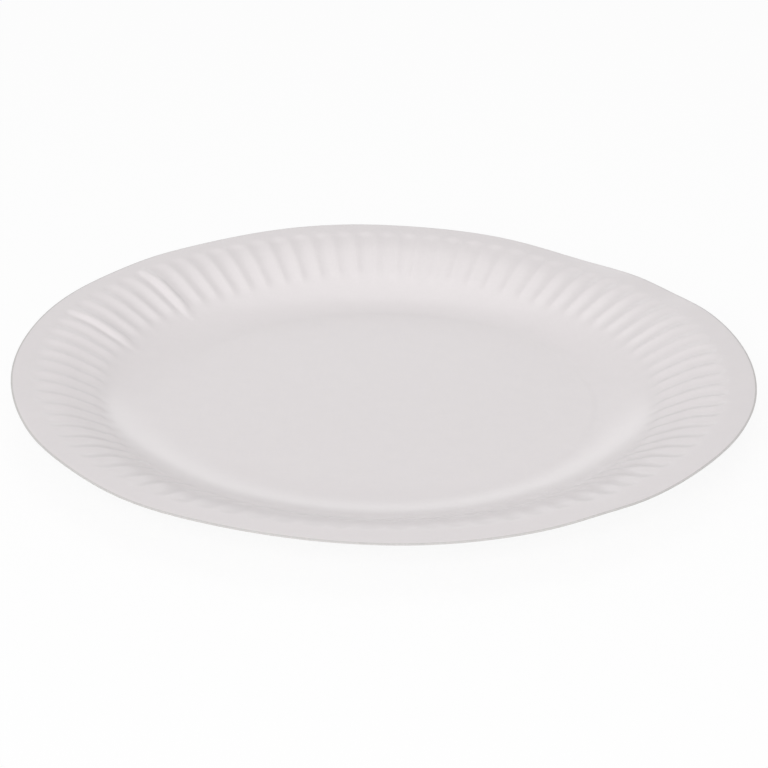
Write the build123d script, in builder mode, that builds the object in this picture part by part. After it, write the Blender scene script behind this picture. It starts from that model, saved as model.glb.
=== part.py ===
"""A 230 mm round paper plate pressed from one sheet of board.

The well floor is flat and the sheet turns up through a soft arc into a sloping wall.
The wall rolls over a shoulder into a narrow, nearly level flange.
Shallow flutes with rounded ends are pressed down into the wall and the shoulder.
The board keeps one thickness everywhere, so every flute stands out on the underside too.
The origin is the centre of the underside of the floor, with +Z up through the open top.
"""
import os
from math import cos, degrees, pi, radians, sin

from build123d import *

os.makedirs("parts", exist_ok=True)

# Sizes are in millimetres and angles in degrees.
plate_radius = 115.0  # centre to the cut edge of the flange
board = 0.4  # thickness of the sheet
well_radius = 43.7  # arc of the face from the floor up to the wall
wall_angle = 28.0  # slope of the wall above level
wall_run = 10.7  # straight part of the wall, along the slope
shoulder_radius = 34.5  # arc of the face from the wall over to the flange
flange_angle = 4.0  # slope of the flange above level
flange_width = 5.75  # level distance from the shoulder to the cut edge

flute_count = 84
flute_start = 3.4  # direction of the first flute, from +X
flute_depth = 0.6  # how far a flute is pressed below the face
flute_gap = 1.3  # plain board between two flutes at the foot of the wall
flute_margin = 1.0  # plain shoulder between the tips of the flutes and the flange

# The floor takes what the rest of the section leaves of the plate's radius.
slope = radians(wall_angle)
well_reach = well_radius * sin(slope)
shoulder_reach = shoulder_radius * (sin(slope) - sin(radians(flange_angle)))
wall_foot = plate_radius - flange_width - shoulder_reach - wall_run * cos(slope)
wall_foot_height = board + well_radius * (1 - cos(slope))
floor_radius = wall_foot - well_reach

# A flute is a round groove, so its width and depth set the radius it is pressed with.
flute_width = 2 * pi * wall_foot / flute_count - flute_gap
groove_radius = (flute_width**2 / 4 + flute_depth**2) / (2 * flute_depth)
groove_lift = groove_radius - flute_depth  # from the face of the sheet up to the groove line

# The section is drawn midway between two flutes, so no flute crosses the line it closes on.
section_plane = Plane.XZ.rotated((0, 0, flute_start - 180 / flute_count))


def sheet_line(below):
    """Draw one layer of the sheet from the centre to the cut edge, and give its two ends."""
    floor = Line((0, board - below), (floor_radius, board - below))
    well = JernArc(floor @ 1, floor % 1, well_radius + below, wall_angle)
    wall = PolarLine(well @ 1, wall_run, wall_angle)
    shoulder = JernArc(wall @ 1, wall % 1, shoulder_radius - below, flange_angle - wall_angle)
    flange_level = flange_width - below * sin(radians(flange_angle))
    flange = PolarLine(shoulder @ 1, flange_level / cos(radians(flange_angle)), flange_angle)
    return floor @ 0, flange @ 1


def groove_bar(radius):
    """Make a round bar with ball ends that lies above the face, along the wall and shoulder."""
    climb = flute_width / 2
    start = Vector(climb, groove_lift).rotate(Axis.Z, wall_angle)
    margin_turn = degrees((flute_margin + flute_width / 2) / shoulder_radius)
    turn = flange_angle - wall_angle + margin_turn
    with BuildPart() as bar:
        with BuildLine(Plane.XZ) as bar_line:
            straight = PolarLine(
                (wall_foot + start.X, wall_foot_height + start.Y), wall_run - climb, wall_angle
            )
            JernArc(straight @ 1, straight % 1, shoulder_radius + groove_lift, turn)
        with BuildSketch(Plane(bar_line.line @ 0, z_dir=bar_line.line % 0)):
            Circle(radius)
        sweep(path=bar_line.line)
        with Locations(bar_line.line @ 0, bar_line.line @ 1):
            Sphere(radius)
    return bar.part


groove = groove_bar(groove_radius)
groove_with_board = groove_bar(groove_radius + board)

# The back of a flute is the part of the larger bar below the middle of the board.
with BuildPart() as flute_back:
    add(groove_with_board)
    with BuildSketch(section_plane):
        with BuildLine():
            middle, middle_rim = sheet_line(board / 2)
            Polyline(middle_rim, (plate_radius, -plate_radius), (0, -plate_radius), middle)
        make_face()
    revolve(axis=Axis.Z, mode=Mode.INTERSECT)

with BuildPart() as plate:
    with BuildSketch(section_plane):
        with BuildLine():
            upper, upper_rim = sheet_line(0)
            lower, lower_rim = sheet_line(board)
            Line(upper, lower)
            Line(upper_rim, lower_rim)
        make_face()
    revolve(axis=Axis.Z)
    with PolarLocations(0, flute_count, start_angle=flute_start):
        add(flute_back.part)
    with PolarLocations(0, flute_count, start_angle=flute_start):
        add(groove, mode=Mode.SUBTRACT)

plate.part.label = "plate"
export_step(plate.part, "parts/plate.step")
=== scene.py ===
"""The look of a pressed paper plate with a fluted wall, lying on a white table.

The board is one sheet. Its face is drawn as rings of points about the middle of the press, the
flutes, pinches and warps are lifts of that face, and the board's thickness is added at the end.
"""

from math import asin, cos, exp, hypot, pi, radians, sin, tan, tau
from random import Random

import bmesh
import bpy
from mathutils import Matrix, Vector


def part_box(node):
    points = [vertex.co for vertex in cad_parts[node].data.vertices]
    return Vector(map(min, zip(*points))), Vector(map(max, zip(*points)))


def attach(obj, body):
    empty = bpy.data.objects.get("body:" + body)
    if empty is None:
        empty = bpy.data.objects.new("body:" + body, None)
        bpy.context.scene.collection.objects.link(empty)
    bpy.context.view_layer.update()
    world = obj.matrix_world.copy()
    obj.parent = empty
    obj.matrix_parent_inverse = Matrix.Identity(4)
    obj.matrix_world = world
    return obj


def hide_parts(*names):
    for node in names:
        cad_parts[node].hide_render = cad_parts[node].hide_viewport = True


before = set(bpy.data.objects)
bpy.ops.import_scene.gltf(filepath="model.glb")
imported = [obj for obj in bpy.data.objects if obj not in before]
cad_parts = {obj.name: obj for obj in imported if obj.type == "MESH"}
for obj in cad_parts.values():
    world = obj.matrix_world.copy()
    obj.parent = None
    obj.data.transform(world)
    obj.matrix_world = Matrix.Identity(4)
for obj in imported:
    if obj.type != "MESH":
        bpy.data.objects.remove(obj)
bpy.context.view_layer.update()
plate_low, plate_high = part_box("plate")

MM = 0.001
RIM = plate_high.x  # nominal radius of the cut edge
TOP = plate_high.z  # nominal height of the cut edge

# The pressed section, from the middle outwards.
BOARD = 0.4 * MM
WELL_ARC = 0.38 * RIM
WALL_SLOPE = radians(28)
WALL_RUN = 0.082 * RIM
SHOULDER_ARC = 0.30 * RIM
FLANGE_SLOPE = radians(4)
FLANGE = 0.05 * RIM
FLANGE_FOOT = RIM - FLANGE
WALL_TOP = FLANGE_FOOT - SHOULDER_ARC * (sin(WALL_SLOPE) - sin(FLANGE_SLOPE))
WALL_FOOT = WALL_TOP - WALL_RUN
FLOOR = WALL_FOOT - WELL_ARC * sin(WALL_SLOPE)
WALL_FOOT_HEIGHT = BOARD + WELL_ARC * (1 - cos(WALL_SLOPE))
WALL_TOP_HEIGHT = WALL_FOOT_HEIGHT + WALL_RUN * tan(WALL_SLOPE)
FLANGE_FOOT_HEIGHT = WALL_TOP_HEIGHT + SHOULDER_ARC * (cos(FLANGE_SLOPE) - cos(WALL_SLOPE))

# The flutes.
FLUTES = 84
FIRST_FLUTE = radians(3.4)
FLUTE_DEPTH = 0.6 * MM
FLUTE_FOOT = 0.745 * RIM
FLUTE_TIP = 0.943 * RIM
FLUTE_NOSE = 3.0 * MM  # length over which a ridge rises out of the wall
RIDGE_SHARPNESS = 0.7  # below 1 the hollows are wide and the ridges between them narrow
FLUTE_DEPTH_RANGE = (0.85, 1.12)  # the shallowest and deepest flute, as shares of the usual depth
FLUTE_PITCH = tau / FLUTES
FRONT = radians(-90)
FAINT_SHARE = 0.75  # part of their depth the flutes lose at the front, where they were pressed least
FAINT_SPREAD = radians(50)

# How this plate was trimmed and how it has sprung out of shape since.
FLOOR_OFFSET = Vector((1.7, 3.0)) * MM  # middle of the flat floor from the middle of the press
PRESS_LINE = 0.12 * MM  # height of the fine bead at the right, where the floor starts to turn up
PRESS_LINE_WIDTH = 0.9 * MM
PRESS_LINE_SPREAD = radians(45)
TRIM_OFFSET = Vector((1.4, -1.0)) * MM  # middle of the trimmed edge from the middle of the press
LIP = 0.8 * MM  # outermost strip of the flange, turned down by the cutting die
LIP_DROP = 0.22 * MM
RIM_SHADE_STRIPS = 2  # of its three strips, how many take the grey cut-edge finish as painted shade, a dark line along the rim
WARPS = (  # direction and spread in degrees, rise in millimetres
    (52, 13, -2.3),
    (32, 8, -1.2),
    (102, 20, 1.3),
    (134, 8, 0.5),
    (158, 14, 0.7),
    (-20, 7, 0.3),
    (-35, 13, 0.95),
    (-58, 6, 0.6),
    (-82, 14, -0.4),
    (-128, 12, -1.1),
    (-152, 10, -0.9),
)
PINCHES = (  # direction in degrees, height in millimetres
    (161.0, 0.85),
    (139.5, 1.1),
    (232.0, 0.25),
)
PINCH_STEEP_SIDE = 2.2 * MM
PINCH_GENTLE_SIDE = 2.8 * MM
PINCH_LEAD = 2 * MM  # how far a pinch starts inside the foot of the flutes
WARP_GROWTH = 1.6  # above 1 the warps keep mostly to the rim

# How the sheet is divided into points.
COLUMNS = 12 * FLUTES
FINGER_TIPS = FLUTE_TIP - 5 * MM  # the rings are closer together from here out
FLOOR_RING_SHRINK = 0.72
# the cut-edge slot holds the grey of the cut fibres on the cut edge, and is also painted on the outer lip
# strips of the upper face as shade along the rim
UNDERSIDE_SLOT, CUT_EDGE_AND_RIM_SHADE_SLOT = 1, 2
WELL_RINGS = (0.88, 0.76, 0.64, 0.52, 0.40, 0.28, 0.18, 0.11, 0.06, 0.03, 0.0, -0.03, -0.07)
CUT_CORNER = radians(50)  # edges that turn more than this stay sharp

# The finishes, the table and the view.
COAT_ROUGHNESS = 0.22
COAT_IN_WELL, COAT_AT_RIM = 0.7, 0.35
DULL_FROM, DULL_TO = 0.74 * RIM, 0.87 * RIM
FIBRE_HEIGHT = 0.03 * MM
TABLE_SIZE = 60 * RIM
TABLE_GAP = 0.02 * MM
TABLE_WHITE = (0.95, 0.95, 0.95, 1)
TABLE_GLOW = 0.9  # share of plain white that the eye sees in the table, over its lit colour
ROOM_LIGHT = 0.50
LENS, SENSOR = 103.74, 36  # millimetres
LENS_SHIFT = (-0.0002, -0.0303)
VIEW_DISTANCE = 6.0 * RIM
VIEW_HEIGHT = radians(24.78)
VIEW_ROLL = radians(0.89)


def ease(share):
    """Rise from 0 to 1 with a level start and finish."""
    share = min(max(share, 0.0), 1.0)
    return share * share * (3 - 2 * share)


def turn_between(a, b):
    """The shorter turn from direction b to direction a, in radians."""
    return (a - b + pi) % tau - pi


def face_height(out):
    """Height of the smooth face, a distance out from the middle of the press."""
    if out <= FLOOR:
        return BOARD
    if out <= WALL_FOOT:
        return BOARD + WELL_ARC * (1 - cos(asin((out - FLOOR) / WELL_ARC)))
    if out <= WALL_TOP:
        return WALL_FOOT_HEIGHT + (out - WALL_FOOT) * tan(WALL_SLOPE)
    if out <= FLANGE_FOOT:
        slope = asin(sin(WALL_SLOPE) - (out - WALL_TOP) / SHOULDER_ARC)
        return WALL_TOP_HEIGHT + SHOULDER_ARC * (cos(slope) - cos(WALL_SLOPE))
    return FLANGE_FOOT_HEIGHT + (out - FLANGE_FOOT) * tan(FLANGE_SLOPE)


def hollow(across):
    """Depth of a flute's hollow: 1 along its middle, 0 on the ridges beside it."""
    return cos(pi / 2 * min(abs(across), 1.0)) ** (2 * RIDGE_SHARPNESS)


def flute_lift(out, direction, depths):
    """Lift of the face in the fluted ring: ridges rise from the wall, hollows sink below the flange."""
    if not FLUTE_FOOT < out < FLUTE_TIP:
        return 0.0
    turns = (direction - FIRST_FLUTE) / FLUTE_PITCH
    across = 2 * (turns - round(turns))
    along = ease((out - FLUTE_FOOT) / (FLUTE_TIP - FLUTE_FOOT))
    finger = out * FLUTE_PITCH / 2
    beyond = max(0.0, (out - (FLUTE_TIP - finger)) / finger)
    ridge = (1 - hollow(across)) * (1 - along) * ease((out - FLUTE_FOOT) / FLUTE_NOSE)
    near_front = turn_between(direction, FRONT) / FAINT_SPREAD
    depth = FLUTE_DEPTH * depths[round(turns) % FLUTES] * (1 - FAINT_SHARE * exp(-near_front**2))
    return depth * (ridge - hollow(hypot(across, beyond)) * along)


def pinch_lift(out, direction):
    """Lift of the sharp pleats where the press pinched the board between two flutes."""
    lift = 0.0
    for degrees_round, height in PINCHES:
        beside = turn_between(direction, radians(degrees_round)) * out
        nearness = 1 - beside / PINCH_STEEP_SIDE if beside > 0 else 1 + beside / PINCH_GENTLE_SIDE
        along = (out - FLUTE_FOOT + PINCH_LEAD) / (FLUTE_TIP - FLUTE_FOOT + PINCH_LEAD)
        if nearness > 0 and 0 < along < 1:
            lift += height * MM * ease(nearness) * sin(pi * along) ** 0.6
    return lift


def warp_lift(out, direction):
    """Lift of the wall and rim where the plate has sprung up or sagged."""
    share = max(0.0, (out - FLOOR) / (RIM - FLOOR)) ** WARP_GROWTH
    bends = 0.0
    for degrees_round, spread, rise in WARPS:
        away = turn_between(direction, radians(degrees_round)) / radians(spread)
        bends += rise * MM * exp(-away * away)
    return share * bends


def floor_edge(direction):
    """Distance from the middle of the press to where the floor starts to turn up."""
    return FLOOR + FLOOR_OFFSET.x * cos(direction) + FLOOR_OFFSET.y * sin(direction)


def trimmed_edge(direction):
    """Distance from the middle of the press to the cut edge."""
    return RIM + TRIM_OFFSET.x * cos(direction) + TRIM_OFFSET.y * sin(direction)


def well_point(share, direction):
    """A point of the well, a share of the way from the edge of the floor to the foot of the wall."""
    edge = floor_edge(direction)
    out = edge + (WALL_FOOT - edge) * share
    fading = (turn_between(direction, 0) / PRESS_LINE_SPREAD) ** 2
    bead = PRESS_LINE * exp(-(((out - edge) / PRESS_LINE_WIDTH) ** 2) - fading)
    height = face_height(out + (FLOOR - edge) * (1 - share) ** 2)
    return Vector((out * cos(direction), out * sin(direction), height + bead + warp_lift(out, direction)))


def ring_places():
    """The rings of points, each as a share of three spans: the pressed part, flange and lip."""
    steps = [(WALL_FOOT, FINGER_TIPS, 12), (FINGER_TIPS, FLUTE_TIP, 9)]
    places = [(out_from + (out_to - out_from) * i / count, 0, 0)
              for out_from, out_to, count in steps for i in range(count)]
    places += [(FLUTE_TIP, i / 4, 0) for i in range(4)]
    places += [(FLUTE_TIP, 1, i / 3) for i in range(4)]
    return places


def face_point(place, direction, depths):
    """A point of the upper face."""
    out, flange_share, lip_share = place
    edge = trimmed_edge(direction)
    out += (edge - LIP - out) * flange_share + LIP * lip_share
    lift = flute_lift(out, direction, depths) + pinch_lift(out, direction) + warp_lift(out, direction)
    height = face_height(out) + lift - LIP_DROP * lip_share**2
    return Vector((out * cos(direction), out * sin(direction), height))


def join_rings(mesh, outer, inner):
    """Fill between two rings; the inner one has as many points or half as many."""
    step = len(outer) // len(inner)
    for i in range(len(inner)):
        near, far = inner[i], inner[(i + 1) % len(inner)]
        run = [outer[(i * step + j) % len(outer)] for j in range(step + 1)]
        if step == 1:
            mesh.faces.new((near, run[0], run[1], far))
        else:
            mesh.faces.new((near, run[0], run[1]))
            mesh.faces.new((near, run[1], far))
            mesh.faces.new((far, run[1], run[2]))


def pressed_sheet():
    """The upper face of the plate as one open sheet."""
    chance = Random(84)
    depths = [chance.uniform(*FLUTE_DEPTH_RANGE) for _ in range(FLUTES)]
    mesh = bmesh.new()
    directions = [FIRST_FLUTE + tau * i / COLUMNS for i in range(COLUMNS)]
    rings = []
    for place in reversed(ring_places()):
        rings.append([mesh.verts.new(face_point(place, way, depths)) for way in directions])
    for share in WELL_RINGS:
        rings.append([mesh.verts.new(well_point(share, way)) for way in directions])
    columns, out = COLUMNS, FLOOR - FLOOR_OFFSET.length
    while columns % 2 == 0:
        columns, out = columns // 2, out * FLOOR_RING_SHRINK
        ways = [FIRST_FLUTE + tau * i / columns for i in range(columns)]
        rings.append([mesh.verts.new((out * cos(way), out * sin(way), BOARD)) for way in ways])
    for outer, inner in zip(rings, rings[1:]):
        join_rings(mesh, outer, inner)
        # the outermost strips of the upper face take the grey cut-edge finish: painted shade, a dark line
        # along the rim
        if inner is rings[RIM_SHADE_STRIPS]:
            for face in mesh.faces:
                face.material_index = CUT_EDGE_AND_RIM_SHADE_SLOT
    middle = mesh.verts.new((0, 0, BOARD))
    last = rings[-1]
    for i in range(len(last)):
        mesh.faces.new((middle, last[i], last[(i + 1) % len(last)]))
    mesh.normal_update()
    return mesh


def pressed_board(face, underside, cut_edge_and_rim_shade):
    """The whole board: the sheet given its thickness, with its three finishes."""
    sheet = pressed_sheet()
    data = bpy.data.meshes.new("pressed_board")
    sheet.to_mesh(data)
    sheet.free()
    board = bpy.data.objects.new("pressed_board", data)
    bpy.context.scene.collection.objects.link(board)
    for finish in (face, underside, cut_edge_and_rim_shade):
        data.materials.append(finish)
    thick = board.modifiers.new("board thickness", "SOLIDIFY")
    thick.thickness = BOARD
    thick.offset = -1
    thick.use_even_offset = True
    thick.material_offset = UNDERSIDE_SLOT
    thick.material_offset_rim = CUT_EDGE_AND_RIM_SHADE_SLOT
    solid = bpy.data.meshes.new_from_object(board.evaluated_get(bpy.context.evaluated_depsgraph_get()))
    board.modifiers.clear()
    board.data = solid
    solid.shade_smooth()
    solid.set_sharp_from_angle(angle=CUT_CORNER)
    return board


def new_material(name):
    """An empty node material with its output."""
    material = bpy.data.materials.new(name)
    material.use_nodes = True
    nodes = material.node_tree.nodes
    nodes.clear()
    return material, nodes, material.node_tree.links


def paper_fibre_group():
    """Matted fibres: a mottled tone, a height and a roughness shift, at the size of paper."""
    group = bpy.data.node_groups.new("paper fibre", "ShaderNodeTree")
    face = group.interface
    for name, value in (("Fibre Size", 1.0), ("Mottle", 0.02), ("Fleck", 0.02)):
        face.new_socket(name, in_out="INPUT", socket_type="NodeSocketFloat").default_value = value
    for name in ("Tone", "Height", "Roughness Shift"):
        face.new_socket(name, in_out="OUTPUT", socket_type="NodeSocketFloat")
    nodes, links = group.nodes, group.links
    given, made = nodes.new("NodeGroupInput"), nodes.new("NodeGroupOutput")
    place = nodes.new("ShaderNodeTexCoord")

    def noise(scale, detail, stretch=(1, 1, 1)):
        size = nodes.new("ShaderNodeMapping")
        size.vector_type = "TEXTURE"
        size.inputs["Scale"].default_value = stretch
        links.new(place.outputs["Object"], size.inputs["Vector"])
        spread = nodes.new("ShaderNodeTexNoise")
        spread.inputs["Detail"].default_value = detail
        finer = nodes.new("ShaderNodeMath")
        finer.operation = "DIVIDE"
        finer.inputs[0].default_value = scale
        links.new(given.outputs["Fibre Size"], finer.inputs[1])
        links.new(finer.outputs[0], spread.inputs["Scale"])
        links.new(size.outputs["Vector"], spread.inputs["Vector"])
        return spread.outputs["Fac"]

    def math(operation, a, b):
        node = nodes.new("ShaderNodeMath")
        node.operation = operation
        for socket, value in zip(node.inputs, (a, b)):
            if isinstance(value, (int, float)):
                socket.default_value = value
            else:
                links.new(value, socket)
        return node.outputs[0]

    clouds = noise(160, 3)
    strands_x = noise(900, 4, (4, 1, 1))
    strands_y = noise(900, 4, (1, 4, 1))
    strands = math("MAXIMUM", strands_x, strands_y)
    mottle = math("MULTIPLY", math("SUBTRACT", clouds, 0.5), given.outputs["Mottle"])
    fleck = math("MULTIPLY", math("SUBTRACT", strands, 0.56), given.outputs["Fleck"])
    links.new(math("ADD", math("ADD", mottle, fleck), 1.0), made.inputs["Tone"])
    links.new(math("ADD", strands, math("MULTIPLY", clouds, 0.6)), made.inputs["Height"])
    links.new(math("MULTIPLY", math("SUBTRACT", strands, 0.56), 0.5), made.inputs["Roughness Shift"])
    return group


def paper(name, colour, roughness, fibre, size, mottle, fleck, bump, specular, coat=0.0):
    """Board with a fibre surface: colour, roughness and bump all come from the fibres."""
    material, nodes, links = new_material(name)
    surface, out = nodes.new("ShaderNodeBsdfPrincipled"), nodes.new("ShaderNodeOutputMaterial")
    surface.inputs["Specular IOR Level"].default_value = specular
    surface.inputs["Coat Weight"].default_value = coat
    surface.inputs["Coat Roughness"].default_value = COAT_ROUGHNESS
    links.new(surface.outputs["BSDF"], out.inputs["Surface"])
    grain = nodes.new("ShaderNodeGroup")
    grain.node_tree = fibre
    for socket, value in (("Fibre Size", size), ("Mottle", mottle), ("Fleck", fleck)):
        grain.inputs[socket].default_value = value
    tint = nodes.new("ShaderNodeVectorMath")
    tint.operation = "SCALE"
    tint.inputs[0].default_value = colour
    links.new(grain.outputs["Tone"], tint.inputs["Scale"])
    links.new(tint.outputs["Vector"], surface.inputs["Base Color"])
    rough = nodes.new("ShaderNodeMath")
    rough.inputs[0].default_value = roughness
    links.new(grain.outputs["Roughness Shift"], rough.inputs[1])
    links.new(rough.outputs[0], surface.inputs["Roughness"])
    raised = nodes.new("ShaderNodeBump")
    raised.inputs["Strength"].default_value = bump
    raised.inputs["Distance"].default_value = FIBRE_HEIGHT
    links.new(grain.outputs["Height"], raised.inputs["Height"])
    links.new(raised.outputs["Normal"], surface.inputs["Normal"])
    return material


def dull_towards_rim(material):
    """Let the coating lose its gloss where the board was stretched into flutes."""
    nodes, links = material.node_tree.nodes, material.node_tree.links
    surface = next(node for node in nodes if node.type == "BSDF_PRINCIPLED")
    place, level = nodes.new("ShaderNodeTexCoord"), nodes.new("ShaderNodeVectorMath")
    level.operation = "MULTIPLY"
    level.inputs[1].default_value = (1, 1, 0)
    links.new(place.outputs["Object"], level.inputs[0])
    out = nodes.new("ShaderNodeVectorMath")
    out.operation = "LENGTH"
    links.new(level.outputs["Vector"], out.inputs[0])
    fade = nodes.new("ShaderNodeMapRange")
    fade.interpolation_type = "SMOOTHSTEP"
    for socket, value in (("From Min", DULL_FROM), ("From Max", DULL_TO),
                          ("To Min", COAT_IN_WELL), ("To Max", COAT_AT_RIM)):
        fade.inputs[socket].default_value = value
    links.new(out.outputs["Value"], fade.inputs["Value"])
    links.new(fade.outputs["Result"], surface.inputs["Coat Weight"])


def white_table():
    """A white floor that stays white to the eye and keeps the plate's soft shadow."""
    bpy.ops.mesh.primitive_plane_add(size=TABLE_SIZE, location=(0, 0, plate_low.z - TABLE_GAP))
    floor = bpy.context.object
    floor.name = "white_table"
    material, nodes, links = new_material("white table")
    lit, glow = nodes.new("ShaderNodeBsdfDiffuse"), nodes.new("ShaderNodeEmission")
    lit.inputs["Color"].default_value = TABLE_WHITE
    mix, out = nodes.new("ShaderNodeMixShader"), nodes.new("ShaderNodeOutputMaterial")
    seen, share = nodes.new("ShaderNodeLightPath"), nodes.new("ShaderNodeMath")
    share.operation = "MULTIPLY"
    share.inputs[1].default_value = TABLE_GLOW
    links.new(seen.outputs["Is Camera Ray"], share.inputs[0])
    links.new(share.outputs[0], mix.inputs["Fac"])
    links.new(lit.outputs["BSDF"], mix.inputs[1])
    links.new(glow.outputs["Emission"], mix.inputs[2])
    links.new(mix.outputs["Shader"], out.inputs["Surface"])
    floor.data.materials.append(material)


def studio_light():
    """A pale room, white to the eye, with soft lamps in front, overhead and behind.

    The front lamp isn't mirrored in the coating, or it would flood the well seen from behind.
    """
    world = bpy.data.worlds.new("pale room")
    bpy.context.scene.world = world
    world.use_nodes = True
    nodes, links = world.node_tree.nodes, world.node_tree.links
    nodes.clear()
    room, seen_room = nodes.new("ShaderNodeBackground"), nodes.new("ShaderNodeBackground")
    room.inputs["Strength"].default_value = ROOM_LIGHT
    room.inputs["Color"].default_value = (1, 1, 1, 1)
    seen_room.inputs["Color"].default_value = (1, 1, 1, 1)
    path, mix, out = (nodes.new("ShaderNode" + kind) for kind in ("LightPath", "MixShader", "OutputWorld"))
    either, any_of = nodes.new("ShaderNodeMath"), nodes.new("ShaderNodeMath")
    either.operation = any_of.operation = "MAXIMUM"
    links.new(path.outputs["Is Camera Ray"], either.inputs[0])
    links.new(path.outputs["Is Glossy Ray"], either.inputs[1])
    links.new(either.outputs[0], any_of.inputs[0])
    links.new(path.outputs["Is Transmission Ray"], any_of.inputs[1])
    links.new(any_of.outputs[0], mix.inputs["Fac"])
    links.new(room.outputs["Background"], mix.inputs[1])
    links.new(seen_room.outputs["Background"], mix.inputs[2])
    links.new(mix.outputs["Shader"], out.inputs["Surface"])
    for name, place, width, depth, power, mirrored in (
        ("front lamp", (-2 * RIM, -12 * RIM, 6.5 * RIM), 7 * RIM, 7 * RIM, 15.5, False),
        ("lamp overhead", (0, 3 * RIM, 12 * RIM), 9 * RIM, 9 * RIM, 3.0, True),
        ("window behind", (0, 13 * RIM, 3.6 * RIM), 4.4 * RIM, 2.6 * RIM, 0.5, True),
    ):
        lamp = bpy.data.lights.new(name, "AREA")
        lamp.shape = "RECTANGLE"
        lamp.size, lamp.size_y = width, depth
        lamp.energy = power
        stand = bpy.data.objects.new(name, lamp)
        stand.location = place
        stand.rotation_euler = (-Vector(place)).to_track_quat("-Z", "Y").to_euler()
        stand.visible_glossy = mirrored
        bpy.context.scene.collection.objects.link(stand)


def camera():
    """A long lens a few plate widths away, looking down at the near side."""
    lens = bpy.data.cameras.new("camera")
    lens.lens = LENS
    lens.sensor_width = SENSOR
    lens.shift_x, lens.shift_y = LENS_SHIFT
    eye = bpy.data.objects.new("camera", lens)
    target = Vector((TRIM_OFFSET.x, TRIM_OFFSET.y, TOP))
    eye.location = target + VIEW_DISTANCE * Vector((0, -cos(VIEW_HEIGHT), sin(VIEW_HEIGHT)))
    aim = (target - eye.location).to_track_quat("-Z", "Y").to_matrix().to_4x4()
    eye.matrix_world = Matrix.Translation(eye.location) @ aim @ Matrix.Rotation(VIEW_ROLL, 4, "Z")
    bpy.context.scene.collection.objects.link(eye)
    bpy.context.scene.camera = eye


bpy.context.scene.view_settings.view_transform = "Standard"
camera()
white_table()
studio_light()

fibre = paper_fibre_group()
coated_face = paper(
    "coated face", colour=(0.748, 0.711, 0.717), roughness=0.5, fibre=fibre,
    size=1.0, mottle=0.03, fleck=0.05, bump=0.25, specular=0.1, coat=COAT_IN_WELL,
)
dull_towards_rim(coated_face)
bare_underside = paper(
    "bare underside", colour=(0.72, 0.69, 0.68), roughness=0.75, fibre=fibre,
    size=1.3, mottle=0.06, fleck=0.12, bump=0.5, specular=0.3,
)
# grey of the cut fibres on the cut edge, also painted on the upper face's outer lip strips as shade along
# the rim
cut_fibres_and_rim_shade = paper(
    "cut fibres and painted rim shade", colour=(0.60, 0.585, 0.575), roughness=0.85, fibre=fibre,
    size=0.6, mottle=0.10, fleck=0.30, bump=0.8, specular=0.2,
)
plate = pressed_board(coated_face, bare_underside, cut_fibres_and_rim_shade)
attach(plate, "root")
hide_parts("plate")
